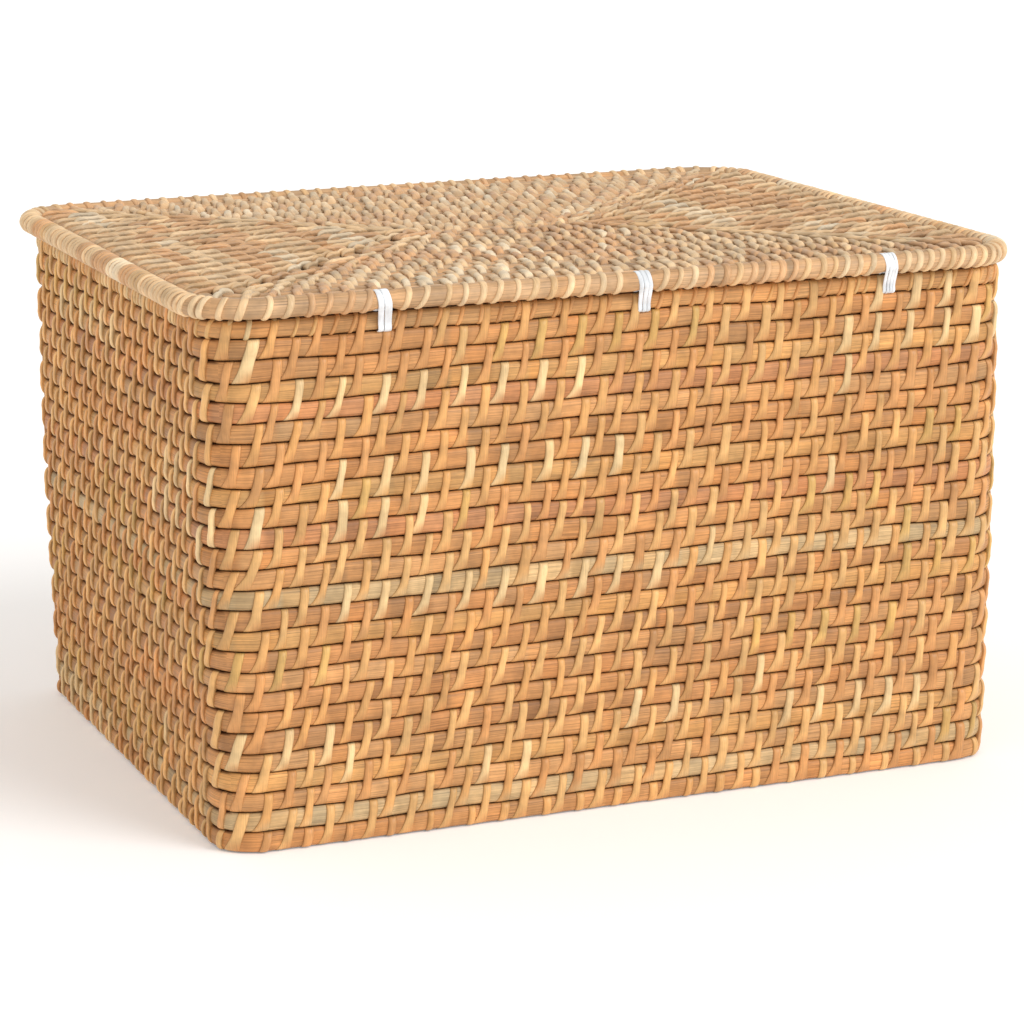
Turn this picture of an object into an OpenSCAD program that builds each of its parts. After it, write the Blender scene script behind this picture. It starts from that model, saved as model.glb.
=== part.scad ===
// Laundry hamper with lid: a rectangular basket of stacked rattan cane courses,
// with a flat coiled lid that hangs on three tie loops. Millimetres, +Z up.
// The origin is on the floor under the middle of the closed lid, +X runs along
// the long side, and the hinge side faces -Y.

/* [Basket] */
// Length of the wall outside, left to right
wall_len = 476; // [440:2:520]
// Depth of the wall outside, hinge side to opening side
wall_dep = 372; // [340:2:400]
// Courses of cane stacked in the wall
wall_courses = 26; // [20:1:28]
// Height of one wall course
course_h = 11.15; // [10:0.05:12]
// Thickness of the wall
wall_t = 9.5; // [9:0.5:11]
// Outer radius of the upright edges
wall_r = 28; // [25:1:34]
// How far the wall tapers in at the floor
foot_inset = 3; // [0:0.5:5]
// Courses over which it tapers
taper_courses = 12; // [2:1:20]

/* [Base] */
// Height of the coiled base
base_h = 10; // [8:0.5:11]
// Rings of cane round the middle of the base
base_rings = 13; // [11:1:15]

/* [Lid] */
// How far the lid stands out past the wall on the hinge and opening sides
overhang = 10; // [8:0.5:12]
// How far it stands out at the left end
left_overhang = 9; // [3:0.5:10]
// How far it stands out at the right end
right_overhang = 4; // [3:0.5:10]
// Diameter of the wrapped cane round the lid's edge
rim_d = 12; // [11:0.5:13]
// Height of the coiled field of the lid
lid_h = 11; // [9:0.5:11]
// Rings of cane between the rim and the middle of the lid
lid_rings = 15; // [13:1:16]
// Outer radius of the lid's corners
lid_r = 40; // [28:1:44]
// Clearance between the closed lid and the wall
lid_gap = 0.3; // [0.2:0.1:0.6]

/* [Ties] */
// Distance between neighbouring ties
tie_pitch = 148.5; // [120:0.5:160]
// Distance of the middle tie from the middle of the hinge side
tie_shift = 6.5; // [-10:0.5:10]
// Width of one strand
strand_w = 4.2; // [3:0.1:5]
// Thickness of one strand
strand_t = 0.9; // [0.6:0.1:1.2]
// Strands side by side in one tie
strands = 2; // [1:1:3]
// Free space between a strand and the cane it loops round
tie_play = 0.3; // [0.2:0.05:0.5]

/* [Hidden] */
$fn = 48;
// Gap between neighbouring rings of the base and of the lid
ring_gap = 0.15;
// Gap between two strands
strand_gap = 0.2;
// Rounding along the edges of a wall course and of a flat ring
course_round = 3.5;
ring_round = 3;
// Smallest inner radius that a ring's corner is bent to
least_bend = 0.6;
// Rounding of the course's outline that the strands follow
loop_round = 1;

wall_h = wall_courses * course_h;
lid_len = wall_len + left_overhang + right_overhang;
lid_dep = wall_dep + 2 * overhang;
lid_z = wall_h + lid_gap;
lid_pitch = (lid_dep / 2 - rim_d) / (lid_rings + 1);
base_len = wall_len - 2 * (foot_inset + wall_t);
base_dep = wall_dep - 2 * (foot_inset + wall_t);
base_r = wall_r - foot_inset - wall_t;
// Spacing of the base's rings, rounded down to a twentieth of a millimetre
base_pitch = floor(10 * base_dep / (base_rings + 1)) / 20;
// Middle of the basket, which the lid's middle stands beside
basket_x = (left_overhang - right_overhang) / 2;

// The lid turns about the middle of its rim cane on the hinge side
hinge_y = rim_d / 2 - lid_dep / 2;
hinge_z = lid_z + rim_d / 2;
// Radii of a tie's loop round the rim cane, which sinks into a groove there
loop_out = rim_d / 2 - 0.2;
loop_in = loop_out - strand_t;
groove_r = loop_in - tie_play;
// A groove or notch is this much wider than the tie that lies in it
tie_side = 0.4;
tie_w = strands * strand_w + (strands - 1) * strand_gap;
notch_w = tie_w + 2 * tie_side;
notch_t = strand_t + 1.3 * tie_play;
tie_names = ["hinge_tie_left", "hinge_tie_middle", "hinge_tie_right"];

// Cane tones
tan_cane = "#dcab74";
orange_cane = "#d3955a";
brown_cane = "#b47f50";
terracotta_cane = "#cc8458";
yellow_cane = "#e0b67c";
green_grey_cane = "#cbb88c";
peel_strip = "#f0cb96";
lid_cane = "#d9b78a";
tie_white = "#e8ecf2";
// Tone of each wall course, from the floor up, repeated if there are more courses
course_tones = [
    orange_cane, green_grey_cane, tan_cane, yellow_cane, tan_cane, brown_cane,
    orange_cane, brown_cane, tan_cane, brown_cane, yellow_cane, brown_cane,
    green_grey_cane, tan_cane, orange_cane, terracotta_cane, orange_cane,
    yellow_cane, orange_cane, orange_cane, tan_cane, terracotta_cane,
    yellow_cane, orange_cane, orange_cane, peel_strip
];

function two_digits(i) = str(i < 10 ? "0" : "", i);
function wall_name(i) = str("wall_course_", two_digits(i));
function lid_name(i) = str("lid_course_", two_digits(i));
function base_name(i) = str("base_course_", two_digits(i));
function inset(i) = foot_inset * max(0, 1 - (i - 1) / taper_courses);
function tie_x(i) = basket_x + tie_shift + i * tie_pitch;

// A rectangle with round corners, standing on the 2D x axis
module round_section(w, h, r) {
    translate([-w / 2 + r, 0]) square([w - 2 * r, h]);
    translate([-w / 2, r]) square([w, h - 2 * r]);
    for (x = [r - w / 2, w / 2 - r], y = [r, h - r]) translate([x, y]) circle(r);
}

// Sweeps a 2D section round a rectangle whose corners are bent to radius r
module swept_ring(len, dep, r) {
    for (side = [-1, 1]) {
        translate([0, side * dep / 2, 0])
            rotate([90, 0, 90]) linear_extrude(len - 2 * r, center = true) children();
        translate([side * len / 2, 0, 0])
            rotate([90, 0, 0]) linear_extrude(dep - 2 * r, center = true) children();
    }
    for (turn = [0 : 3]) {
        sx = turn == 0 || turn == 3 ? 1 : -1;
        sy = turn < 2 ? 1 : -1;
        translate([sx * (len / 2 - r), sy * (dep / 2 - r), 0])
            rotate([0, 0, 90 * turn]) rotate_extrude(angle = 90) translate([r, 0]) children();
    }
}

// One flat ring: outer size, outer corner radius, width and height
module flat_ring(len, dep, r_out, w, h) {
    r = max(r_out - w / 2, w / 2 + least_bend);
    swept_ring(len - w, dep - w, r) round_section(w, h, ring_round);
}

// Middle of a coil: one cane doubled back on itself, with a seam along each face
module doubled_cane(len, dep, h) {
    seam = 2;
    difference() {
        union() {
            translate([-(len - dep) / 2, -dep / 2, 0]) cube([len - dep, dep, h]);
            for (side = [-1, 1]) translate([side * (len - dep) / 2, 0, 0]) cylinder(d = dep, h = h);
        }
        for (z = [0, h]) translate([0, 0, z]) cube([len - dep, seam, seam], center = true);
    }
}

module at_ties() {
    for (i = [-1 : 1]) translate([tie_x(i), 0, 0]) children();
}

// Pocket for the strands that cross the top of a wall course
module tie_notches(top) {
    at_ties() translate([-notch_w / 2, -wall_dep / 2 - 1, top - notch_t])
        cube([notch_w, wall_t + 2, notch_t + 1]);
}

module wall_course(i) {
    back = inset(i) + wall_t / 2;
    color(course_tones[(i - 1) % len(course_tones)]) difference() {
        translate([basket_x, 0, (i - 1) * course_h])
            swept_ring(wall_len - 2 * back, wall_dep - 2 * back, wall_r - back)
                round_section(wall_t, course_h, course_round);
        if (i > wall_courses - 2) tie_notches(i * course_h);
    }
}

module base_course(i) {
    in = (i - 1) * base_pitch + ring_gap;
    color(tan_cane) translate([basket_x, 0, 0])
        flat_ring(base_len - 2 * in, base_dep - 2 * in, base_r - in, base_pitch - ring_gap, base_h);
}

module base_centre() {
    in = base_rings * base_pitch + ring_gap;
    color(tan_cane) translate([basket_x, 0, 0])
        doubled_cane(base_len - 2 * in, base_dep - 2 * in, base_h);
}

module lid_rim() {
    color(peel_strip) difference() {
        translate([0, 0, hinge_z])
            swept_ring(lid_len - rim_d, lid_dep - rim_d, lid_r - rim_d / 2) circle(d = rim_d);
        at_ties() translate([0, hinge_y, hinge_z]) rotate([0, 90, 0]) difference() {
            cylinder(r = rim_d, h = notch_w, center = true);
            cylinder(r = groove_r, h = notch_w + 1, center = true);
        }
    }
}

module lid_course(i) {
    in = rim_d + (i - 1) * lid_pitch + ring_gap;
    color(lid_cane) translate([0, 0, lid_z])
        flat_ring(lid_len - 2 * in, lid_dep - 2 * in, lid_r - in, lid_pitch - ring_gap, lid_h);
}

module lid_centre() {
    in = rim_d + lid_rings * lid_pitch + ring_gap;
    color(lid_cane) translate([0, 0, lid_z])
        doubled_cane(lid_len - 2 * in, lid_dep - 2 * in, lid_h);
}

// Outline round the notched top course, grown by g on every side
module course_outline(g) {
    h = course_h - notch_t;
    translate([wall_t / 2 - wall_dep / 2, wall_h - course_h - g])
        round_section(wall_t + 2 * g, h + 2 * g, loop_round + g);
}

// Straight strip between two points of a 2D outline
module strip(a, b, w) {
    way = b - a;
    translate(a) rotate(atan2(way[1], way[0])) translate([0, -w / 2]) square([norm(way), w]);
}

// Side view of one strand: a loop round the rim cane, a loop round the top
// course of the wall, and the leg and the short link that join them
module strand_outline() {
    g = tie_play / 2;
    mid = loop_in + strand_t / 2;
    // Angles on the rim cane where the leg and the link start; the leg is
    // parallel to the side of the first ring when the lid lies fully open
    leave = 229;
    link = 298;
    rim_at = [hinge_y, hinge_z];
    leg_top = rim_at + mid * [cos(leave), sin(leave)];
    leg_run = (leg_top[0] + wall_dep / 2 + g + strand_t / 2) / sin(leave);
    difference() {
        union() {
            translate(rim_at) circle(loop_out);
            course_outline(g + strand_t);
            strip(leg_top, leg_top + leg_run * [-sin(leave), cos(leave)], strand_t);
            strip(rim_at + mid * [cos(link), sin(link)],
                [-wall_dep / 2 + course_round, wall_h - notch_t + g + strand_t / 2], strand_t);
        }
        translate(rim_at) circle(loop_in);
        course_outline(g);
    }
}

module hinge_tie(i) {
    color(tie_white)
        for (s = [0 : strands - 1])
            translate([tie_x(i - 1) - tie_w / 2 + s * (strand_w + strand_gap), 0, 0])
                rotate([90, 0, 90]) linear_extrude(strand_w) strand_outline();
}

for (i = [1 : wall_courses]) wall_course(i);
for (i = [1 : base_rings]) base_course(i);
base_centre();
lid_rim();
for (i = [1 : lid_rings]) lid_course(i);
lid_centre();
for (i = [0 : 2]) hinge_tie(i);
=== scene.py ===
"""A coiled rattan storage basket with a lid tied on, as canes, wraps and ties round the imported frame.

Metres, Z up, with the hinge side facing -Y. Sizes come from the frame's boxes and the named values below.
"""

import math
from dataclasses import dataclass

import bpy
import numpy as np
from mathutils import Matrix, Vector


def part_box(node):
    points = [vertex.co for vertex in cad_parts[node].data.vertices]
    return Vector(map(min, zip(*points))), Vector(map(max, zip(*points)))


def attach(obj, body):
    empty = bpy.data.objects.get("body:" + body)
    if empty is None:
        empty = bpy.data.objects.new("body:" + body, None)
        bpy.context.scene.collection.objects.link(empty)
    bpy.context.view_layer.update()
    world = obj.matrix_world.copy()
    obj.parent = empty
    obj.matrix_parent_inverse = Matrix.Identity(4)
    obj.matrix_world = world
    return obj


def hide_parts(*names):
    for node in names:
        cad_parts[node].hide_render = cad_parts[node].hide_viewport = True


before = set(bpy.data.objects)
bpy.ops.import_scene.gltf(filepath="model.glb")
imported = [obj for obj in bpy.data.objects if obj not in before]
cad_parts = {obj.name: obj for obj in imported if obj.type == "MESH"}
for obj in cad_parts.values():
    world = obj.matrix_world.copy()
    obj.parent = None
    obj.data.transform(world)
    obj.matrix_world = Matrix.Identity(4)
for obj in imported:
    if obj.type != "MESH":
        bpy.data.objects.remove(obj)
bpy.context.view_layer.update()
SEED = 41
draw = np.random.default_rng(SEED)

MM = 0.001
WALL_COURSES = 26
BASE_RINGS = 13
LID_RINGS = 15

# ---------------------------------------------------------------- shapes of the canes, in metres
WALL_CORNER = 28 * MM        # outer corner radius of the wall
LID_CORNER = 40 * MM         # outer corner radius of the lid
BASE_CORNER = 15.5 * MM      # outer corner radius of the base
LEAST_CORNER = 0.6 * MM      # least radius inside a bend
CENTRE_SLACK = 0.1 * MM      # a bend stays this much within half of a ring's depth
COURSE_SQUARENESS = 2.8      # power of the flattened cane's section; 2 is an ellipse
WALL_LIFT = 3.65 * MM        # half thickness of a wall cane
LID_LIFT = 4.3 * MM          # the same, for the lid's rings
BASE_LIFT = 4.2 * MM         # and for the base's
RIM_HALF = 6.0 * MM          # the lid's round rim, with its wraps
RIM_RADIUS = 5.55 * MM       # its cane, under them
RIM_PINCH = 4.75 * MM        # the same, where a tie holds it
PINCH_REACH = (4.6 * MM, 2.0 * MM)  # half the length held, and how soon it widens again
SEAM = 0.1 * MM              # half the slit between neighbouring canes
RING_SLIT = 0.3 * MM         # the slit between the flat rings of the lid and of the base
WALL_HALF = 4.75 * MM        # half the wall's thickness
TOP_SETTLE = 1.0 * MM        # how far the top cane is pressed down by its wraps
EDGE_WRAP = 0.55 * MM        # thickness of the wraps over it
CANE_STEP = 3.0 * MM         # mesh step along a cane
CANE_POINTS = 18             # mesh points round a cane
WAVE_SIZE = 0.22 * MM        # hand-made waviness of the lines between canes
WAVES = 7                    # sine waves that make it up
WAVE_TURNS = (3, 22)         # turns round the basket of the slowest one, and what the others add at most

# ---------------------------------------------------------------- shapes of the wraps
WRAP_WIDTH = 4.8 * MM
WRAP_THICK = 1.05 * MM
WRAP_CROWN = 0.12            # how much thicker a wrap is where it crosses the middle of a cane
WRAP_DIP = 0.3 * MM          # how far a wrap sinks where it crosses the slit
WRAP_BOW = (0.3 * MM, 0.8 * MM)     # how far its middle bows out, on the long and short sides
SIDE_BLEND = 0.3             # how much of a wrap's end fades into the cane on the short sides
BAND_PROUD = 0.8             # how much thicker a band is on the outer face of the cane it goes round
WRAP_EDGE_SHADE = 0.6        # painted shadow, with dust: a wrap's edges are this dark
WRAP_BURIED = 1.3 * MM       # how far its underside sits in the cane
WRAP_WANDER = 0.35 * MM      # how far it strays sideways
LEAST_OUT = 0.2 * MM         # no point of a wrap sinks deeper than this
WRAP_FLARE = (2.6 * MM, 5.0 * MM)   # how far its left edge sweeps out, at the left and right ends
WRAP_SPREAD = 0.7 * MM       # the same, for its right edge
FLARE_START = 1.02           # stations: 0 to 1 over a wrap's own cane, 1 to 2 over the next
FLARE_POWERS = (1.4, 2.4)    # how late it sweeps out, from wrap to wrap
LEAN_POWER = 1.2             # above 1 it leans more towards its end
FADE_START, FADE_LENGTH = 1.2, 0.6  # stations where its end begins to fade into the next cane
FADE_ACROSS = (0.1, 1.0)     # how much of its thickness fades at its left and right edges
FADE_COLOUR = (0.15, 1.0)    # the same, for its colour
FADE_MOST = 0.9              # how much of the colour is gone at the very end
FADE_THIN = 0.25             # and of the thickness, on top of that
FADE_SINK = 0.12 * MM        # and how far that end beds in
BRIDGE = 0.4                 # stations each side of the slit that a wrap spans without touching
HAND_OVER = (0.7, 0.6)       # station where a wrap begins to follow the next cane, and over how many
ROUNDNESS = (2.4, 0.55)      # powers of its crowned section
SLIT_SHADE = 0.25            # brightness deep in a slit
SLIT_DEPTHS = (0.25, 0.5)    # share of the cane's face where that ends, and over how much
EDGE_SHADE_WIDTH = 0.2       # share of half its width that is darker
OTHER_SIDES = 0.6            # the looks of the other sides, between the left and right of the hinge side
WIDTH_SPREAD = (0.1, 0.75, 1.3)     # how much wraps differ, and the least and greatest factor
FLARE_SPREAD = (0.2, 0.4, 1.5)
THICK_SPREAD = (0.1, 0.8, 1.2)
LEAN_SPREAD = 0.22
BAND_WIDTH_SPREAD = (0.09, 0.75, 1.25)
BAND_THICK_SPREAD = (0.08, 0.8, 1.15)
BAND_LEAN_SPREAD = 0.25

# ---------------------------------------------------------------- places of the wraps
WALL_PITCH = (21.6 * MM, 21.6 * MM)         # on long and short sides
HINGE_SIDE_PITCH = (24.0 * MM, 19.5 * MM)   # at its left and right ends
LID_PITCH = (14.0 * MM, 17.5 * MM)
BASE_PITCH = (21.0 * MM, 21.0 * MM)
FIRST_PHASE = 0.75           # where the first wrap of a side stands, in pitches
WALL_STAGGER = (0.5, 0.5)    # pitches by which a course's wraps follow the last one's, by side
FLAT_STAGGER = (0.664, 0.295)       # the same, from ring to ring
PLACE_SCATTER = 0.05         # how unevenly wraps are spread, in pitches
EDGE_PITCH = (10.0 * MM, 6.0 * MM)          # over the wall's top cane
EDGE_HINGE_PITCH = (12.5 * MM, 7.0 * MM)
EDGE_SCATTER = 0.1           # in pitches
RIM_PITCHES = (              # at the left and right ends of each side, from the hinge side round
    (11.5 * MM, 6.2 * MM),
    (6.3 * MM, 6.3 * MM),
    (10.0 * MM, 10.0 * MM),
    (6.3 * MM, 6.3 * MM),
)
RIM_PHASE = 0.5              # as the first phase, for the rim
RIM_SCATTER = 0.07           # in pitches
MITRE_ZONE = 20 * MM         # a wrap runs straight across to the next ring until this near the mitre

# ---------------------------------------------------------------- shapes of the ties
TIE_CLEAR = 7.5 * MM         # no wrap comes this close to a tie's middle
TIE_LEAVES = 227             # angle on the rim cane, in degrees, where a tie's leg leaves it
TIE_ENTERS = -28             # and where it comes down behind the rim cane
TIE_SLANT = 3.8 * MM         # how far a tie's foot stands to the right of its top
TIE_BEND = 2.0 * MM          # size of its bends round the top cane
TIE_PROUD = 0.35 * MM        # how far its middle stands off the wall's face, and beds into its top
TIE_INSIDE = 0.4 * MM        # and off the inner face and the underside
TIE_OFF_RIM = 0.5 * MM       # and off the rim cane
TIE_POINTS = 12              # mesh points round a strand
TIE_POWER = 0.8              # of its section; 1 is an ellipse
TIE_THICK = 0.42 * MM        # half its thickness
TIE_GAP = 0.04 * MM          # half the slit between strands
TIE_STEP = 0.1 * MM          # every second strand stands this much further out
TIE_WOBBLE = 0.15 * MM       # how far a strand strays sideways

# ---------------------------------------------------------------- colours
CANE_TONES = {
    "tan": "#cb955f",
    "orange": "#c98e56",
    "brown": "#c08753",
    "terracotta": "#c58757",
    "yellow": "#ce995c",
    "green_grey": "#c9a879",
    "peel_strip": "#cc975f",
    "lid_cane": "#cda479",
}
COURSE_TONES = (
    "orange green_grey tan yellow tan brown orange brown tan brown yellow brown green_grey "
    "tan orange terracotta orange yellow orange orange tan terracotta yellow orange orange peel_strip"
).split()
STRIP_TONES = ("#dfae70", "#e6c48f", "#d4a863", "#d4995f", "#dba465")
STRIP_SHARES = (0.38, 0.07, 0.06, 0.24, 0.25)   # how common each tone is
LID_STRIP_TONES = ("#e8c69a", "#f0d9b6", "#deb888", "#dbad7f", "#e8c89d")
STRIP_CHANGE = 0.34          # chance that the next wrap starts a new strip
STRIP_DIFFERS = (0.07, 0.02)        # how much wraps differ in lightness and in warmth
CELL_DIFFERS = (0.085, 0.04)        # the same, for the cells of a cane between its wraps
DARK_CELLS = 0.035           # share of the cells that are stained darker
CELL_STAIN = 0.22            # and by how much
TONE_DRIFT = ((0.05, 2), (0.04, 5))     # slow changes round a cane: size and number of turns
RING_DIFFERS = 0.05          # how much flat rings differ in lightness
SEAM_SHADE_AND_DIRT_BANDS = (0.11, 0.3)     # how much of a cane's edge is darkened, on long and short sides: painted shade in the creases between canes, with dirt
# painted shade, with dirt: the dark colour along the creases between canes
SEAM_SHADE_AND_DIRT_COLOUR = "#5e3519"
TIE_COLOUR = "#eef2f6"
TIE_DIFFERS = 0.02           # the same, for a tie's strands


def linear(colour):
    """A hex colour as linear red, green and blue."""
    parts = np.array([int(colour[i : i + 2], 16) / 255 for i in (1, 3, 5)])
    return np.where(parts <= 0.04045, parts / 12.92, ((parts + 0.055) / 1.055) ** 2.4)


def smooth(x):
    """A soft step from 0 to 1."""
    x = np.clip(x, 0, 1)
    return x * x * (3 - 2 * x)


def between(ends, share):
    """The value at a share of the way between two."""
    return ends[0] + (ends[1] - ends[0]) * share


def flattened(count, squareness):
    """Points round a flattened circle, as (out, down) from -1 to 1."""
    theta = np.arange(count) / count * 2 * math.pi
    power = 2 / squareness
    out = np.sign(np.cos(theta)) * np.abs(np.cos(theta)) ** power
    down = np.sign(np.sin(theta)) * np.abs(np.sin(theta)) ** power
    return out, down


# ================================================================ canes as frames to build in


@dataclass
class Cane:
    """One cane bent round a rounded rectangle. Courses stack down the wall, or inwards where flat."""

    half_len: float          # centreline
    half_dep: float
    corner: float
    height: float
    across: float            # half its size in the direction that courses stack
    lift: float              # half its size out of the face
    flat: bool
    waves: tuple             # phases of the waviness of its first and second edges
    squareness: float = COURSE_SQUARENESS
    middle: float = 0.0      # x of its centre


def sides_of(cane, side):
    """Half the straight length and the distance from the centre, for a side or an array of sides."""
    long_side = np.asarray(side) % 2 == 0
    half = np.where(long_side, cane.half_len, cane.half_dep)
    away = np.where(long_side, cane.half_dep, cane.half_len)
    return half - cane.corner, away


def reach_of(cane, side):
    """Distance along the centreline from the middle of a side to the mitre at its end."""
    return sides_of(cane, side)[0] + cane.corner * math.pi / 4


def spot(cane, side, along, down, out):
    """Points by distance along a side from its middle, across the course, and out of the face."""
    straight, away = sides_of(cane, side)
    turn = np.clip(np.abs(along) - straight, 0, None) / cane.corner
    sign = np.sign(along)
    radius = cane.corner + (-down if cane.flat else out)
    x = sign * (np.minimum(np.abs(along), straight) + radius * np.sin(turn))
    y = away - cane.corner + radius * np.cos(turn)
    angle = np.asarray(side) * (math.pi / 2)
    z = cane.height + (out if cane.flat else -down)
    right = cane.middle + x * np.cos(angle) + y * np.sin(angle)
    parts = (right, x * np.sin(angle) - y * np.cos(angle), z)
    return np.stack(np.broadcast_arrays(*parts), -1)


def round_angle(cane, side, along):
    """Where a point is round the whole loop, from 0 to a full turn."""
    share = (np.asarray(side) + 0.5 + 0.5 * along / reach_of(cane, side)) / 4
    return share * 2 * math.pi


def wave(phases, angle):
    """Slow hand-made waviness, the same for the two canes that share an edge."""
    if phases is None:
        return np.zeros_like(angle)
    total = 0
    for i, phase in enumerate(phases):
        turns = WAVE_TURNS[0] + i * WAVE_TURNS[1] / len(phases)
        total = total + np.sin(np.round(turns) * angle + phase)
    return total * WAVE_SIZE


def down_at(cane, side, along, share):
    """Distance across the course for a share of it, from 0 at its first edge to 1 at its second."""
    angle = round_angle(cane, side, along)
    first = -cane.across + wave(cane.waves[0], angle)
    second = cane.across + wave(cane.waves[1], angle)
    return first + (second - first) * share


def face_lift(cane, share):
    """How far the cane's face stands out, for a share across it."""
    off = np.clip(np.abs(1 - 2 * share), 0, 1)
    return cane.lift * (1 - off**cane.squareness) ** (1 / cane.squareness)


def wave_phases(count):
    """Phases for the edges of a stack of canes; the two outermost edges stay straight."""
    inner = [draw.uniform(0, 2 * math.pi, WAVES) for _ in range(count - 1)]
    return [None] + inner + [None]


def half_size(node):
    """Half of a CAD node's length and of its depth."""
    low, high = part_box(node)
    return (high.x - low.x) / 2, (high.y - low.y) / 2


def wall_canes():
    """The wall's canes from the floor up."""
    phases = wave_phases(WALL_COURSES)
    widest, _ = half_size(f"wall_course_{WALL_COURSES:02d}")
    canes = []
    for i in range(WALL_COURSES):
        low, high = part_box(f"wall_course_{i + 1:02d}")
        half_len, half_dep = half_size(f"wall_course_{i + 1:02d}")
        across = (high.z - low.z) / 2
        height = (high.z + low.z) / 2
        if i == WALL_COURSES - 1:
            across -= TOP_SETTLE / 2
            height -= TOP_SETTLE / 2
        cane = Cane(
            half_len=half_len - WALL_HALF,
            half_dep=half_dep - WALL_HALF,
            corner=WALL_CORNER - WALL_HALF - (widest - half_len),
            height=height,
            across=across,
            lift=WALL_LIFT,
            flat=False,
            waves=(phases[i + 1], phases[i]),
            middle=(low.x + high.x) / 2,
        )
        canes.append(cane)
    return canes


def flat_canes(nodes, corner, lift):
    """Rings that lie inside one another, from the outermost in. The last is the doubled middle cane."""
    phases = wave_phases(len(nodes))
    outer, outer_dep = half_size(nodes[0])
    width = outer_dep - half_size(nodes[1])[1] - RING_SLIT
    canes = []
    for i, node in enumerate(nodes):
        low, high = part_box(node)
        half_len, half_dep = half_size(node)
        bend = max(corner - (outer - half_len) - width / 2, width / 2 + LEAST_CORNER)
        cane = Cane(
            half_len=half_len - width / 2,
            half_dep=half_dep - width / 2,
            corner=min(bend, half_dep - width / 2 - CENTRE_SLACK),
            height=(high.z + low.z) / 2,
            across=width / 2,
            lift=lift,
            flat=True,
            waves=(phases[i], phases[i + 1]),
            middle=(low.x + high.x) / 2,
        )
        canes.append(cane)
    return canes


# ================================================================ meshes


class Build:
    """Grids of points gathered into one mesh, with a colour at each point and a grain map."""

    def __init__(self):
        self.points, self.colours, self.loops, self.sizes, self.maps = [], [], [], [], []
        self.count = 0

    def tubes(self, points, colours, grain, closed):
        """Adds tubes: points and colours as (tube, station, round, 3), and grain as (…, 2) in metres."""
        tubes, stations, around = points.shape[:3]
        index = np.arange(tubes * stations * around).reshape(tubes, stations, around) + self.count
        last = stations if closed else stations - 1
        here = np.arange(last)
        there = (here + 1) % stations
        ring = np.arange(around)
        turn = (ring + 1) % around
        corners = (
            index[:, here][:, :, ring], index[:, there][:, :, ring],
            index[:, there][:, :, turn], index[:, here][:, :, turn],
        )
        quads = np.stack(corners, -1).reshape(-1, 4)
        wide = np.concatenate([grain, grain[:, :, :1]], 2)
        if closed:
            span = grain[:, -1:, :, 0] + (grain[:, 1:2, :, 0] - grain[:, :1, :, 0])
            wrap = np.stack([np.concatenate([span, span[:, :, :1]], 2), wide[:, :1, :, 1]], -1)
            wide = np.concatenate([wide, wrap], 1)
        step = np.abs(wide[:, :, 1:2, 1] - wide[:, :, :1, 1])
        wide[:, :, -1, 1] = wide[:, :, -2, 1] + step[:, :, 0]
        maps = (
            wide[:, :last, :around], wide[:, 1 : last + 1, :around],
            wide[:, 1 : last + 1, 1:], wide[:, :last, 1:],
        )
        self.loops.append(quads.ravel())
        self.sizes.append(np.full(len(quads), 4))
        self.maps.append(np.stack(maps, -2).reshape(-1, 2))
        if not closed:
            for end, order in ((0, ring), (stations - 1, ring[::-1])):
                self.loops.append(index[:, end][:, order].ravel())
                self.sizes.append(np.full(tubes, around))
                self.maps.append(grain[:, end][:, order].reshape(-1, 2))
        self.points.append(points.reshape(-1, 3))
        self.colours.append(colours.reshape(-1, 3))
        self.count += tubes * stations * around

    def piece(self, name, material, body, slot, nodes=()):
        """Makes the mesh an object that rides on a body and stands for its CAD nodes."""
        mesh = bpy.data.meshes.new(name)
        points = np.concatenate(self.points)
        loops = np.concatenate(self.loops)
        sizes = np.concatenate(self.sizes)
        starts = np.concatenate([[0], np.cumsum(sizes)[:-1]])
        mesh.vertices.add(len(points))
        mesh.vertices.foreach_set("co", points.astype(np.float32).ravel())
        mesh.loops.add(len(loops))
        mesh.loops.foreach_set("vertex_index", loops.astype(np.int32))
        mesh.polygons.add(len(sizes))
        mesh.polygons.foreach_set("loop_start", starts.astype(np.int32))
        grain = mesh.uv_layers.new(name="grain")
        grain.data.foreach_set("uv", np.concatenate(self.maps).astype(np.float32).ravel())
        # the point colours, which hold the painted shade and light of the canes' edges, the wraps' edges
        # and slits, and the short sides
        tone = mesh.color_attributes.new(name="tone", type="FLOAT_COLOR", domain="POINT")
        colours = np.clip(np.concatenate(self.colours), 0, 1)
        rgba = np.concatenate([colours, np.ones((len(colours), 1))], 1)
        tone.data.foreach_set("color", rgba.astype(np.float32).ravel())
        mesh.update(calc_edges=True)
        mesh.validate()
        mesh.shade_smooth()
        mesh.materials.append(material)
        obj = bpy.data.objects.new(name, mesh)
        bpy.context.scene.collection.objects.link(obj)
        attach(obj, body)
        if nodes:
            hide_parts(*nodes)
        return obj


# ================================================================ colours along a cane


def varied(colour, spread, warmth):
    """Colours around one colour: spread darkens or lightens, and warmth turns it redder or yellower."""
    tint = np.stack([1 + warmth, np.ones_like(warmth), 1 - 1.3 * warmth], -1)
    return colour * (1 + spread)[..., None] * tint


def cell_colours(cane, colour, side, along, breaks):
    """A cane's colour at points along it: it changes from cell to cell, between its wraps."""
    where = round_angle(cane, side, along)
    cell = np.searchsorted(breaks, where.ravel()).reshape(where.shape)
    spread = draw.normal(0, CELL_DIFFERS[0], len(breaks) + 1)
    warmth = draw.normal(0, CELL_DIFFERS[1], len(breaks) + 1)
    spread[draw.random(len(spread)) < DARK_CELLS] -= CELL_STAIN
    spread[-1], warmth[-1] = spread[0], warmth[0]
    drift = 0
    for size, turns in TONE_DRIFT:
        drift = drift + size * np.sin(turns * where + draw.uniform(0, 6))
    return varied(colour, spread[cell] + drift, warmth[cell])


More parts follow.
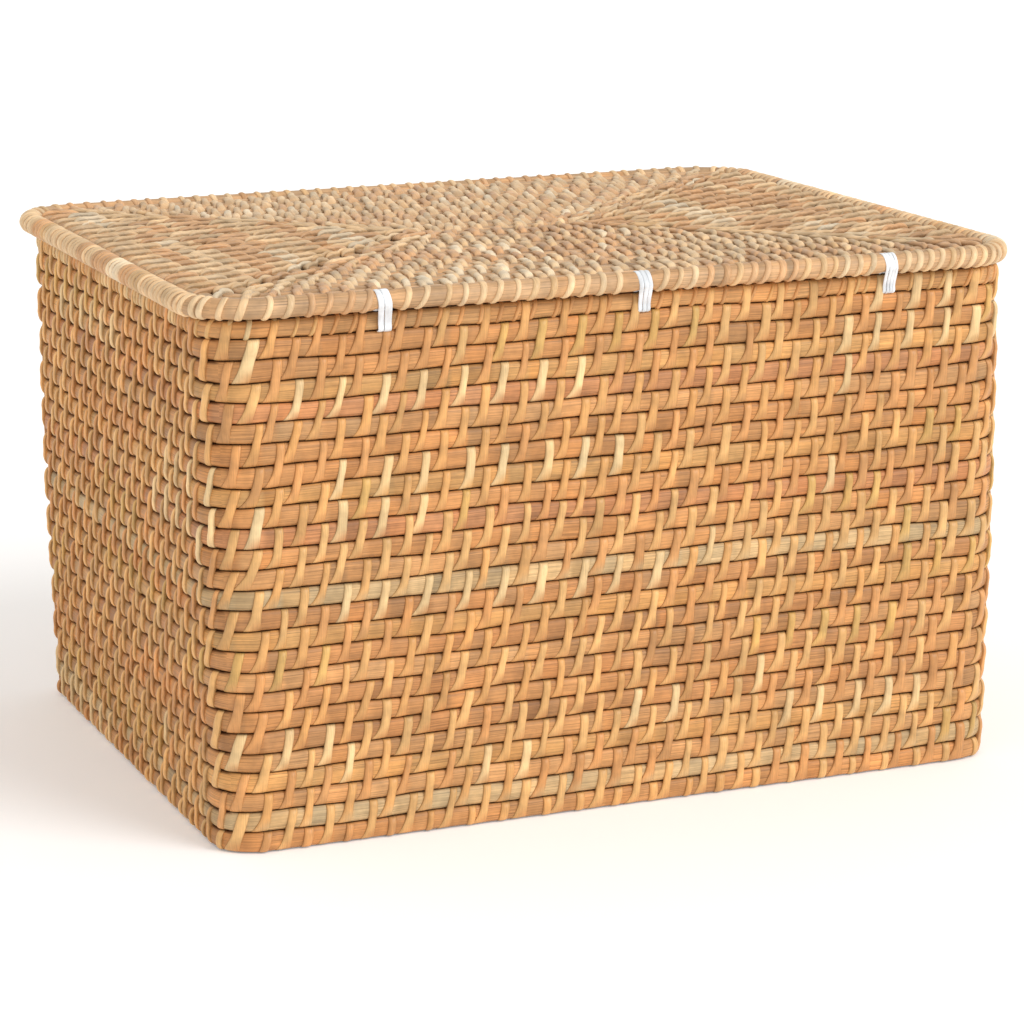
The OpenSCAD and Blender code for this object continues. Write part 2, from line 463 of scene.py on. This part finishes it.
def strip_colours(count, tones=STRIP_TONES):
    """One colour for each wrap in turn; several in a row are cut from the same strip."""
    picks = draw.choice(len(tones), count, p=STRIP_SHARES)
    for i in range(1, count):
        if draw.random() > STRIP_CHANGE:
            picks[i] = picks[i - 1]
    found = np.array([linear(c) for c in tones])[picks]
    spread, warmth = STRIP_DIFFERS
    return varied(found, draw.normal(0, spread, count), draw.normal(0, warmth, count))


# ================================================================ canes


def cane_tube(build, cane, colour, breaks, pinch=None, seam_shade_and_dirt=True):
    """The cane itself, as a closed tube round its rounded rectangle."""
    sides, places = [], []
    for side in range(4):
        reach = float(reach_of(cane, side))
        count = max(6, int(2 * reach / CANE_STEP))
        places.append((np.arange(count) / count * 2 - 1) * reach)
        sides.append(np.full(count, side))
    side, along = np.concatenate(sides)[:, None], np.concatenate(places)[:, None]
    out, down = flattened(CANE_POINTS, cane.squareness)
    thin = np.ones_like(along) if pinch is None else pinch(side, along)
    slit = 1 - SEAM / cane.across
    middle = down_at(cane, side, along, 0.5)
    across = down_at(cane, side, along, 0.5 + 0.5 * down * slit) - middle
    points = spot(cane, side, along, middle + across * thin, cane.lift * out * thin)
    shade = cell_colours(cane, colour, side, along, breaks)
    # painted shade, with dirt: a cane's edges are darkened towards the seam colour where it meets its
    # neighbours
    band = np.where(side % 2 == 0, *SEAM_SHADE_AND_DIRT_BANDS)
    clear_of_seam_shade = smooth((1 - np.abs(down)) / band + (0 if seam_shade_and_dirt else 1))[..., None]
    colours = linear(SEAM_SHADE_AND_DIRT_COLOUR) * (1 - clear_of_seam_shade) + shade * clear_of_seam_shade
    run = np.zeros(len(along))
    run[1:] = np.cumsum(np.linalg.norm(np.diff(points[:, 0], axis=0), axis=1))
    ring = np.concatenate([[0], np.cumsum(np.hypot(np.diff(cane.lift * out), np.diff(cane.across * down)))])
    grain = np.stack(np.broadcast_arrays(run[:, None], ring[None, :]), -1)
    build.tubes(points[None], colours[None], grain[None] + draw.uniform(0, 3), True)


# ================================================================ wraps

# Stations down a wrap, closer where it bends, and places across it
STRIP_STATIONS = np.array(
    [0.02, 0.07, 0.14, 0.26, 0.42, 0.6, 0.76, 0.9, 1.0, 1.1, 1.22, 1.36, 1.5, 1.64, 1.77, 1.87, 1.94, 1.99]
)
PLAIN_STATIONS = np.array([0.03, 0.12, 0.3, 0.6, 0.85, 1.0, 1.15, 1.4, 1.7, 1.9, 1.98])
STRIP_SECTION = np.array([-1.0, -0.86, -0.45, 0.0, 0.45, 0.86, 1.0])
PLAIN_SECTION = np.array([-1.0, -0.6, 0.0, 0.6, 1.0])
UNDERSIDE = np.array([0.8, -0.8])
BAND_SECTION = np.array([-0.86, -0.45, 0.0, 0.45, 0.86, 0.85, -0.85])
BAND_CAP = np.array([0.35, 0.85, 1.0, 0.85, 0.35, -0.9, -0.9])   # its height at each of those
BAND_POINTS = 22             # mesh points round a band
STRIP_RUN = 11 * MM          # length that the grain counts for each course crossed
GRAIN_SHIFT = 0.31           # metres by which the grain moves on from wrap to wrap
BAND_SHIFT = 0.27            # and from band to band


def carried(cane_a, cane_b, side, along):
    """The place on the next cane beside a place on this one; only near the mitres do they differ."""
    reach_a, reach_b = reach_of(cane_a, side), reach_of(cane_b, side)
    start = np.maximum(np.minimum(reach_a, reach_b) - MITRE_ZONE, 0)
    far = np.maximum(np.abs(along) - start, 0) * (reach_b - start) / np.maximum(reach_a - start, 1e-6)
    return np.sign(along) * (np.minimum(np.abs(along), start) + far)


@dataclass
class Weave:
    """How the wraps of one face look."""

    width: float = WRAP_WIDTH
    thick: float = WRAP_THICK
    flare: tuple = WRAP_FLARE
    spread: float = WRAP_SPREAD
    lean: tuple = (4.8 * MM, 1.8 * MM)      # at the left and right ends of the hinge side
    side_lean: float = 5.0 * MM
    side_width: float = 3.4 * MM
    side_flare: float = 1.0 * MM
    # painted light: a factor that brightens or darkens the wraps on the short sides
    side_painted_light: float = 1.0
    bow: tuple = WRAP_BOW
    face: int = 1                           # 1 outside or on top, -1 inside or underneath
    fine: bool = True


def differing(count, spread, least=-math.inf, most=math.inf):
    """A factor near 1 for each wrap in turn."""
    return draw.normal(1, spread, count).clip(least, most)[:, None, None]


def wrap_section(weave):
    """Places across a wrap's section, its height at each, and 1 on its upper side or 0 underneath."""
    across = STRIP_SECTION if weave.fine else PLAIN_SECTION
    below = np.zeros(len(UNDERSIDE))
    s = np.concatenate([across, UNDERSIDE])
    cap = np.concatenate([(1 - np.abs(across) ** ROUNDNESS[0]) ** ROUNDNESS[1], below])
    top = np.concatenate([np.ones(len(across)), below])
    return s[None, None, :], cap[None, None, :], top[None, None, :]


def wrap_outline(weave, cane, side, along, q, s):
    """How far along the side each point of a wrap lies from the wrap's own place."""
    count = len(along)
    long_side = side % 2 == 0
    across_side = np.where(side == 0, (along / reach_of(cane, 0) + 1) / 2, OTHER_SIDES)
    width = np.where(long_side, weave.width, weave.side_width) * differing(count, *WIDTH_SPREAD)
    sweep = draw.uniform(*FLARE_POWERS, count)[:, None, None]
    flare = np.where(long_side, between(weave.flare, across_side), weave.side_flare)
    flare = flare * differing(count, *FLARE_SPREAD)
    lean = np.where(long_side, between(weave.lean, across_side), weave.side_lean)
    lean = lean * differing(count, LEAN_SPREAD)
    wander = draw.normal(0, WRAP_WANDER, count)[:, None, None] * np.sin(q * 1.5)
    open_out = np.clip(q - FLARE_START, 0, None) ** sweep
    left = -width / 2 - flare * open_out
    right = width / 2 + weave.spread * open_out
    return between((left, right), (s + 1) / 2) - lean * (q / 2) ** LEAN_POWER + wander


def wrap_ground(cane_a, cane_b, q):
    """How far out the canes lie under a wrap, which spans the slit between two of them."""
    face = face_lift(cane_a, np.clip(q, 0, 1))
    if cane_b is None:
        return face
    face = np.where(q <= 1, face, face_lift(cane_b, np.clip(q - 1, 0, 1)))
    return np.maximum(face, np.where(np.abs(q - 1) < BRIDGE, cane_a.lift - WRAP_DIP, 0))


def wrap_out(weave, long_side, q, s, cap, top, fade, ground):
    """How far out of the face each point of a wrap lies."""
    bow = np.where(long_side, *weave.bow) * np.sin(math.pi * q / q.max())
    height = weave.thick * cap * (1 - fade * between(FADE_ACROSS, (s + 1) / 2)) * (1 - FADE_THIN * fade)
    height = height * differing(len(long_side), *THICK_SPREAD)
    height = height * (1 + WRAP_CROWN * np.sin(math.pi * (q % 1)))
    buried = (1 - top) * (WRAP_BURIED + bow) + top * fade * FADE_SINK
    return weave.face * np.maximum(ground + height + bow - buried, LEAST_OUT)


def wrap_colours(weave, long_side, s, fade, depth, tones, under):
    """A wrap's colours: darker at its edges (painted shade, with dust) and deep in the slits (painted
    shade), and fading into the cane under it.
    """
    blend = (fade * between(FADE_COLOUR, (s + 1) / 2) * FADE_MOST)[..., None]
    # painted shade: a wrap grows darker where it dips into the slit between canes
    deep = between((SLIT_SHADE, 1), smooth((depth - SLIT_DEPTHS[0]) / SLIT_DEPTHS[1]))[..., None]
    # painted shade and dust along a wrap's edges; where it fades out, its right edge is left undarkened
    edge_shade_and_dust = between((WRAP_EDGE_SHADE, 1), smooth((1 - np.abs(s)) / EDGE_SHADE_WIDTH))
    edge_shade_and_dust = edge_shade_and_dust + (1 - edge_shade_and_dust) * fade * (s > 0)
    # painted light on the short sides
    tones = tones[:, None, None, :] * np.where(long_side, 1, weave.side_painted_light)[..., None]
    return (tones * (1 - blend) + under * blend) * deep * edge_shade_and_dust[..., None]


def wraps(build, cane_a, cane_b, side, along, tones, under, weave):
    """Wraps that cross one cane and flare out over the next. Without a next cane they stop at its edge."""
    q = (STRIP_STATIONS if weave.fine else PLAIN_STATIONS)[None, :, None]
    if cane_b is None:
        q = q / 2
    s, cap, top = wrap_section(weave)
    side, along = side[:, None, None], along[:, None, None]
    long_side = side % 2 == 0
    x = wrap_outline(weave, cane_a, side, along, q, s)
    ground = wrap_ground(cane_a, cane_b, q)
    fade = smooth((q - FADE_START) / FADE_LENGTH) * np.where(long_side, 1, SIDE_BLEND)
    out = wrap_out(weave, long_side, q, s, cap, top, fade, ground)
    points = spot(cane_a, side, along + x, down_at(cane_a, side, along + x, q), out)
    if cane_b is not None:
        there = carried(cane_a, cane_b, side, along) + x
        ahead = spot(cane_b, side, there, down_at(cane_b, side, there, q - 1), out)
        share = smooth((q - HAND_OVER[0]) / HAND_OVER[1])[..., None] * np.ones_like(ahead)
        points = points * (1 - share) + ahead * share
    colours = wrap_colours(weave, long_side, s, fade, ground / cane_a.lift, tones, under)
    colours = colours * np.ones(points.shape)
    if weave.face < 0:
        points, colours, x = points[:, :, ::-1], colours[:, :, ::-1], x[:, :, ::-1]
    length = (q * STRIP_RUN + np.arange(len(along))[:, None, None] * GRAIN_SHIFT) * np.ones(x.shape)
    grain = np.stack([length, x + WRAP_WIDTH], -1)
    build.tubes(points, colours, grain, False)


def bands(build, cane, side, along, tones, width, lean, thick):
    """Wraps that go right round one cane, as closed bands leaning over its outer face."""
    count = len(along)
    out, down = flattened(BAND_POINTS, cane.squareness)
    out, down = out[None, :, None], down[None, :, None]
    s = BAND_SECTION[None, None, :]
    side, along = side[:, None, None], along[:, None, None]
    wide = width * differing(count, *BAND_WIDTH_SPREAD)
    tilt = lean * differing(count, BAND_LEAN_SPREAD)
    x = s * wide / 2 - tilt * (1 + down) / 2
    grow = thick * BAND_CAP[None, None, :] * differing(count, *BAND_THICK_SPREAD)
    proud = 1 + BAND_PROUD * np.clip(out, 0, 1)
    where = along + x
    middle = down_at(cane, side, where, 0.5)
    across = down * (cane.across + grow)
    points = spot(cane, side, where, middle + across, out * (cane.lift + grow * proud))
    colours = tones[:, None, None, :] * np.ones(points.shape)
    turn = np.arange(BAND_POINTS)[None, :, None] / BAND_POINTS * 2 * math.pi
    run = turn * cane.lift + np.arange(count)[:, None, None] * BAND_SHIFT
    grain = np.stack(np.broadcast_arrays(run * np.ones(x.shape), x + WRAP_WIDTH), -1)
    build.tubes(points, colours, grain, True)


# ================================================================ where wraps start


def side_starts(reach, pitches, phase):
    """Wrap places along one side, evenly spread, with the pitch changing from the left to the right."""
    first, last = pitches
    count = max(1, round(2 * reach / ((first + last) / 2)))
    k = (np.arange(count) + phase) / count
    share = k * (2 * first + (last - first) * k) / (first + last)
    return (share * 2 - 1) * reach


def starts_round(cane, number, pitch, stagger, hinge_pitch=None, scatter=PLACE_SCATTER):
    """Sides and distances for all the wraps of a course, by its number in the stack."""
    sides, places = [], []
    for side in range(4):
        pitches = hinge_pitch if hinge_pitch and side == 0 else (pitch[side % 2], pitch[side % 2])
        phase = (FIRST_PHASE + number * stagger[side % 2]) % 1
        found = side_starts(float(reach_of(cane, side)), pitches, phase)
        sides.append(np.full(len(found), side))
        places.append(found)
    side, along = np.concatenate(sides), np.concatenate(places)
    return side, along + draw.normal(0, scatter * pitch[0], len(along))


def breaks_of(cane, *starts):
    """Where the cells of a cane begin and end, as angles round it."""
    return np.sort(np.concatenate([round_angle(cane, side, along) for side, along in starts]))


def clear_of_ties(side, along, middle=0.0):
    """The same wraps without those of the hinge side that would meet a tie."""
    keep = np.ones(len(along), bool)
    for x in tie_places():
        keep &= ~((side == 0) & (np.abs(along + middle - x) < TIE_CLEAR))
    return side[keep], along[keep]


def tie_places():
    """Where the ties are along the hinge side."""
    places = []
    for name in ("hinge_tie_left", "hinge_tie_middle", "hinge_tie_right"):
        low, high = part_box(name)
        places.append((low.x + high.x) / 2)
    return places


# ================================================================ materials


def node(tree, kind, **values):
    """A shader node with some of its properties or inputs set."""
    made = tree.nodes.new(kind)
    for key, value in values.items():
        if hasattr(made, key):
            setattr(made, key, value)
        else:
            made.inputs[key.replace("_", " ")].default_value = value
    return made


def ranged(tree, source, low, high, bottom=0.3, top=0.7):
    """A noise value, which mostly lies from 0.3 to 0.7, spread over another range."""
    made = node(tree, "ShaderNodeMapRange")
    made.inputs["From Min"].default_value = bottom
    made.inputs["From Max"].default_value = top
    made.inputs["To Min"].default_value = low
    made.inputs["To Max"].default_value = high
    tree.links.new(source, made.inputs["Value"])
    return made.outputs["Result"]


def fibres(tree, place, along, across):
    """Noise stretched along the strand, by cells per metre along and across it."""
    scaled = node(tree, "ShaderNodeMapping")
    scaled.inputs["Scale"].default_value = (along, across, 1)
    tree.links.new(place.outputs["UV"], scaled.inputs["Vector"])
    noise = node(tree, "ShaderNodeTexNoise", Scale=1.0, Detail=4.0, Roughness=0.62)
    tree.links.new(scaled.outputs["Vector"], noise.inputs["Vector"])
    return noise.outputs["Fac"]


def times(tree, first, second):
    """Two values multiplied."""
    made = node(tree, "ShaderNodeMath", operation="MULTIPLY")
    tree.links.new(first, made.inputs[0])
    tree.links.new(second, made.inputs[1])
    return made.outputs["Value"]


def grained(name, along, across, depth, light, rough, lines):
    """Rattan or fibre: the point colours, streaked along the strand, with a fine raised grain.

    along and across are cells per metre, and depth is the grain's; light and rough are ranges of
    brightness and roughness, and lines is how dark the cracks are.
    """
    material = bpy.data.materials.new(name)
    material.use_nodes = True
    tree = material.node_tree
    shader = tree.nodes["Principled BSDF"]
    # point colours, with painted shade and light included
    tone = node(tree, "ShaderNodeAttribute", attribute_name="tone")
    place = node(tree, "ShaderNodeUVMap", uv_map="grain")
    fibre = fibres(tree, place, along, across)
    crack = fibres(tree, place, along * 0.5, across * 2.3)
    where = node(tree, "ShaderNodeTexCoord")
    patch = node(tree, "ShaderNodeTexNoise", Scale=95.0, Detail=3.0, Roughness=0.55)
    tree.links.new(where.outputs["Object"], patch.inputs["Vector"])
    streak = times(tree, ranged(tree, fibre, *light), ranged(tree, crack, lines, 1, 0.36, 0.5))
    both = times(tree, streak, ranged(tree, patch.outputs["Fac"], 0.82, 1.18))
    paint = node(tree, "ShaderNodeVectorMath", operation="SCALE")
    tree.links.new(tone.outputs["Color"], paint.inputs["Vector"])
    tree.links.new(both, paint.inputs["Scale"])
    tree.links.new(paint.outputs["Vector"], shader.inputs["Base Color"])
    tree.links.new(ranged(tree, fibre, *rough), shader.inputs["Roughness"])
    bump = node(tree, "ShaderNodeBump", Strength=0.7, Distance=depth)
    tree.links.new(fibre, bump.inputs["Height"])
    tree.links.new(bump.outputs["Normal"], shader.inputs["Normal"])
    shader.inputs["Specular IOR Level"].default_value = 0.4
    return material


def plain_floor():
    """A pale matt floor that gives back a little light."""
    material = bpy.data.materials.new("floor_paper")
    material.use_nodes = True
    tree = material.node_tree
    shader = tree.nodes["Principled BSDF"]
    shader.inputs["Base Color"].default_value = (0.95, 0.95, 0.95, 1)
    shader.inputs["Roughness"].default_value = 0.9
    shader.inputs["Emission Color"].default_value = (1, 1, 1, 1)
    shader.inputs["Emission Strength"].default_value = 0.18
    return material


cane_material = grained(
    "cane", along=28, across=900, depth=0.25 * MM, light=(0.78, 1.22), rough=(0.42, 0.62), lines=0.6
)
strip_material = grained(
    "strip", along=60, across=1500, depth=0.12 * MM, light=(0.84, 1.14), rough=(0.34, 0.5), lines=0.85
)
tie_material = grained(
    "tie", along=90, across=2600, depth=0.1 * MM, light=(0.9, 1.06), rough=(0.5, 0.7), lines=0.9
)


# ================================================================ the basket


def slot_of(tone):
    """The record's material slot for a cane of this tone."""
    return tone if tone in ("peel_strip", "lid_cane") else tone + "_cane"


def build_wall():
    """The wall's courses with the wraps that bind each to the one below it."""
    canes = wall_canes()
    starts = [
        starts_round(cane, i, WALL_PITCH, WALL_STAGGER, HINGE_SIDE_PITCH) for i, cane in enumerate(canes)
    ]
    # painted highlight: brighter wraps on the wall's short sides
    outside = Weave(side_painted_light=1.12)
    inside = Weave(face=-1, fine=False, lean=(2.0 * MM, 2.0 * MM), bow=(0.3 * MM, 0.3 * MM))
    for i, cane in enumerate(canes):
        tone = COURSE_TONES[i]
        number = f"{i + 1:02d}"
        above = starts[i + 1] if i + 1 < WALL_COURSES else starts[i]
        build = Build()
        colour = linear(CANE_TONES[tone])
        cane_tube(build, cane, colour, breaks_of(cane, starts[i], above))
        course = f"wall_course_{number}"
        build.piece(f"wall_cane_{number}", cane_material, "basket", slot_of(tone), [course])
        side, along = starts[i]
        below = canes[i - 1] if i else None
        under = linear(CANE_TONES[COURSE_TONES[i - 1]]) if i else colour
        build = Build()
        tones = strip_colours(len(along))
        wraps(build, cane, below, side, along, tones, under, outside)
        wraps(build, cane, below, side, along, tones, under, inside)
        build.piece(f"wall_wraps_{number}", strip_material, "basket", "peel_strip")
    return canes


def build_top_edge(cane):
    """Closer wraps over the wall's top cane, clear of the ties."""
    side, along = starts_round(cane, 1, EDGE_PITCH, WALL_STAGGER, EDGE_HINGE_PITCH, EDGE_SCATTER)
    side, along = clear_of_ties(side, along, cane.middle)
    build = Build()
    tones = strip_colours(len(along))
    bands(build, cane, side, along, tones, width=2.7 * MM, lean=3.2 * MM, thick=EDGE_WRAP)
    build.piece("wall_edge_wraps", strip_material, "basket", "peel_strip")


def build_rings(name, nodes, canes, tone, body, pitch, top, under, strip_tones, group=4):
    """Flat rings and the wraps between them, from the outermost in; wraps of some rings share a piece."""
    starts = [starts_round(cane, i, pitch, FLAT_STAGGER) for i, cane in enumerate(canes)]
    colour = linear(CANE_TONES[tone])
    strips = None
    for i, cane in enumerate(canes):
        build = Build()
        before = starts[i - 1] if i else starts[i]
        shade = colour * (1 + draw.normal(0, RING_DIFFERS))
        cane_tube(build, cane, shade, breaks_of(cane, starts[i], before))
        build.piece(f"{name}_cane_{i + 1:02d}", cane_material, body, slot_of(tone), [nodes[i]])
        if i % group == 0:
            strips = Build()
            first = i
        inner = canes[i + 1] if i + 1 < len(canes) else None
        side, along = starts[i]
        tones = strip_colours(len(along), strip_tones)
        wraps(strips, cane, inner, side, along, tones, colour, top)
        wraps(strips, cane, inner, side, along, tones, colour, under)
        if i % group == group - 1 or inner is None:
            strips.piece(f"{name}_wraps_{first // group + 1}", strip_material, body, "peel_strip")


def build_base():
    """The basket's coiled floor."""
    nodes = [f"base_course_{i + 1:02d}" for i in range(BASE_RINGS)] + ["base_centre"]
    canes = flat_canes(nodes, BASE_CORNER, BASE_LIFT)
    top = Weave(face=1, fine=False, thick=0.75 * MM)
    under = Weave(face=-1, fine=False, thick=0.75 * MM)
    build_rings("base", nodes, canes, "tan", "basket", BASE_PITCH, top, under, STRIP_TONES)


# ================================================================ the lid


def build_lid():
    """The lid's coiled top, inside its rim."""
    nodes = [f"lid_course_{i + 1:02d}" for i in range(LID_RINGS)] + ["lid_centre"]
    inset = half_size("lid_rim")[0] - half_size(nodes[0])[0]
    canes = flat_canes(nodes, LID_CORNER - inset, LID_LIFT)
    shape = {"flare": (2.4 * MM, 2.4 * MM), "lean": (-5.0 * MM, -5.0 * MM), "side_lean": 7.0 * MM}
    # painted shade: darker wraps on the lid's short sides
    top = Weave(thick=1.6 * MM, width=5.0 * MM, side_painted_light=0.88, **shape)
    under = Weave(face=-1, fine=False, thick=0.8 * MM, **shape)
    build_rings("lid", nodes, canes, "lid_cane", "lid", LID_PITCH, top, under, LID_STRIP_TONES)


def build_rim():
    """The lid's round rim cane, which the ties hold, and the wraps round it."""
    low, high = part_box("lid_rim")
    half = (high.z - low.z) / 2
    half_len, half_dep = half_size("lid_rim")
    rim = Cane(
        half_len=half_len - half,
        half_dep=half_dep - half,
        corner=LID_CORNER - half,
        height=(high.z + low.z) / 2,
        across=RIM_RADIUS,
        lift=RIM_RADIUS,
        flat=False,
        waves=(None, None),
        squareness=2.0,
    )

    def pinch(side, along):
        """How thin the rim is at points along it, as a factor."""
        held, widens = PINCH_REACH
        thin = np.ones_like(along)
        for x in tie_places():
            near = (side == 0) * (1 - smooth((np.abs(along - x) - held) / widens))
            thin = thin - near * (1 - RIM_PINCH / RIM_RADIUS)
        return thin

    sides, places = [], []
    for side, pitches in enumerate(RIM_PITCHES):
        found = side_starts(float(reach_of(rim, side)), pitches, RIM_PHASE)
        found = found + draw.normal(0, RIM_SCATTER * pitches[1], len(found))
        sides.append(np.full(len(found), side))
        places.append(found)
    side, along = clear_of_ties(np.concatenate(sides), np.concatenate(places))
    build = Build()
    colour = linear(CANE_TONES["lid_cane"])
    # no painted seam shade on the rim
    cane_tube(build, rim, colour, breaks_of(rim, (side, along)), pinch, seam_shade_and_dirt=False)
    build.piece("lid_rim_cane", cane_material, "lid", "peel_strip", ["lid_rim"])
    build = Build()
    tones = strip_colours(len(along), LID_STRIP_TONES)
    bands(build, rim, side, along, tones, width=4.0 * MM, lean=3.4 * MM, thick=0.8 * MM)
    build.piece("lid_rim_wraps", strip_material, "lid", "peel_strip")


# ================================================================ the ties


def tie_path():
    """The loop that a tie's strands follow, as (y, z): round the rim cane and round the wall's top cane."""
    low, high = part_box("lid_rim")
    rim_y, rim_z = low.y + RIM_HALF, (low.z + high.z) / 2
    wall_low, wall_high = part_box(f"wall_course_{WALL_COURSES:02d}")
    face, inner = wall_low.y - TIE_PROUD, wall_low.y + 2 * WALL_HALF + TIE_INSIDE
    top, under = wall_high.z - TIE_PROUD, wall_low.z - TIE_INSIDE
    radius = RIM_PINCH + TIE_OFF_RIM
    arc = np.radians(np.linspace(TIE_LEAVES, TIE_ENTERS, 26))
    over = [(rim_y + radius * math.cos(a), rim_z + radius * math.sin(a)) for a in arc]
    behind = rim_y + radius - 0.2 * MM
    down = [(behind, top + 2.2 * MM), (behind + 0.4 * MM, top + 0.4 * MM), (behind + 1.8 * MM, top)]
    inside = [(inner - TIE_BEND, top), (inner, top - TIE_BEND), (inner, under + TIE_BEND)]
    below = [(inner - TIE_BEND, under), (face + 1.8 * MM, under)]
    front = [(face, under + 1.6 * MM), (face, under + 5 * MM)]
    points = np.array(over + down + inside + below + front)
    for _ in range(2):
        ahead = np.roll(points, -1, axis=0)
        points = np.stack([points * 0.75 + ahead * 0.25, points * 0.25 + ahead * 0.75], 1).reshape(-1, 2)
    return points


def build_tie(name, x_middle, widths, narrow):
    """A tie of flat strands side by side; narrow is how much of its width is left low on the wall."""
    path = tie_path()
    step = np.roll(path, -1, axis=0) - np.roll(path, 1, axis=0)
    step /= np.linalg.norm(step, axis=1)[:, None]
    normal = np.stack([-step[:, 1], step[:, 0]], -1)
    theta = np.arange(TIE_POINTS) / TIE_POINTS * 2 * math.pi
    side = np.sign(np.cos(theta)) * np.abs(np.cos(theta)) ** TIE_POWER
    rise = np.sign(np.sin(theta)) * np.abs(np.sin(theta)) ** TIE_POWER
    run = np.concatenate([[0], np.cumsum(np.linalg.norm(np.diff(path, axis=0), axis=1))])
    low = smooth((path[:, 1].max() - path[:, 1]) / (path[:, 1].max() - path[:, 1].min()))[:, None]
    squeeze = 1 - (1 - narrow) * low
    build = Build()
    edge = -sum(widths) / 2
    for number, width in enumerate(widths):
        middle = edge + width / 2
        edge += width
        wobble = TIE_WOBBLE * np.sin(np.linspace(0, 4 * math.pi, len(path)) + number)[:, None]
        x = x_middle + (low - 0.5) * TIE_SLANT + (middle + wobble) * squeeze
        x = x + side * (width / 2 - TIE_GAP) * squeeze
        lift = rise * TIE_THICK + TIE_STEP * (number % 2)
        y = path[:, :1] + normal[:, :1] * lift
        z = path[:, 1:] + normal[:, 1:] * lift
        points = np.stack([x, y, z], -1)
        grain = np.stack(np.broadcast_arrays(run[:, None], (theta * width / 6)[None] + number), -1)
        tone = linear(TIE_COLOUR) * (1 + TIE_DIFFERS * draw.normal())
        build.tubes(points[None], (tone * np.ones(points.shape))[None], grain[None], True)
    build.piece(name, tie_material, "basket", "tie_white", [name.replace("strands", "tie")])


def build_ties():
    """The three ties, which have two, three and four strands."""
    left, middle, right = tie_places()
    build_tie("hinge_strands_left", left, [3.5 * MM, 4.4 * MM], 0.95)
    build_tie("hinge_strands_middle", middle, [2.9 * MM, 2.8 * MM, 2.6 * MM], 0.85)
    build_tie("hinge_strands_right", right, [2.1 * MM, 1.9 * MM, 2.0 * MM, 1.8 * MM], 0.97)


# ================================================================ the room


CAMERA_PLACE = (-0.7355, -1.844, 0.592)
CAMERA_YAW, CAMERA_PITCH, CAMERA_ROLL = (math.radians(a) for a in (22.0, 13.13, -0.37))
CAMERA_LENS = 120.1          # millimetres, on a sensor 36 wide
FLOOR_HALF = 9.0             # half its width, in metres
FLOOR_DROP = 0.5 * MM        # keeps the floor clear of the canes
SKY_COLOUR = (1, 0.975, 0.94, 1)
SKY_STRENGTH = 0.75
SUN_STRENGTH = 1.65
SUN_ANGLE = math.radians(35)        # wide, for soft shadows
SUN_AIM = (-0.5, 0.7, -0.56)


def build_camera():
    """The camera, which looks along +Y before it is turned right, tipped down and rolled."""
    data = bpy.data.cameras.new("camera")
    data.lens = CAMERA_LENS
    data.sensor_width = 36
    data.shift_x = -0.002
    camera = bpy.data.objects.new("camera", data)
    bpy.context.scene.collection.objects.link(camera)
    bpy.context.scene.camera = camera
    sin_yaw, cos_yaw = math.sin(CAMERA_YAW), math.cos(CAMERA_YAW)
    sin_pitch, cos_pitch = math.sin(CAMERA_PITCH), math.cos(CAMERA_PITCH)
    forward = Vector((sin_yaw * cos_pitch, cos_yaw * cos_pitch, -sin_pitch))
    right = Vector((cos_yaw, -sin_yaw, 0))
    up = right.cross(forward)
    cos_roll, sin_roll = math.cos(CAMERA_ROLL), math.sin(CAMERA_ROLL)
    turned_right = cos_roll * right + sin_roll * up
    turned_up = cos_roll * up - sin_roll * right
    turned = Matrix((turned_right, turned_up, -forward)).transposed().to_4x4()
    camera.matrix_world = Matrix.Translation(CAMERA_PLACE) @ turned


def build_floor():
    """One pale square under everything."""
    mesh = bpy.data.meshes.new("floor")
    corners = [(x * FLOOR_HALF, y * FLOOR_HALF, 0) for x, y in ((-1, -1), (1, -1), (1, 1), (-1, 1))]
    mesh.from_pydata(corners, [], [(0, 1, 2, 3)])
    mesh.materials.append(plain_floor())
    floor = bpy.data.objects.new("floor", mesh)
    floor.location.z = -FLOOR_DROP
    bpy.context.scene.collection.objects.link(floor)


def build_light():
    """A warm white sky and one broad sun from the front left."""
    world = bpy.data.worlds.new("studio")
    world.use_nodes = True
    background = world.node_tree.nodes["Background"]
    background.inputs["Color"].default_value = SKY_COLOUR
    background.inputs["Strength"].default_value = SKY_STRENGTH
    bpy.context.scene.world = world
    sun = bpy.data.lights.new("key", "SUN")
    sun.energy = SUN_STRENGTH
    sun.angle = SUN_ANGLE
    light = bpy.data.objects.new("key", sun)
    light.rotation_euler = Vector(SUN_AIM).to_track_quat("-Z", "Y").to_euler()
    bpy.context.scene.collection.objects.link(light)
    bpy.context.scene.view_settings.view_transform = "Standard"


build_camera()
build_floor()
build_light()
wall = build_wall()
build_top_edge(wall[-1])
build_base()
build_lid()
build_rim()
build_ties()
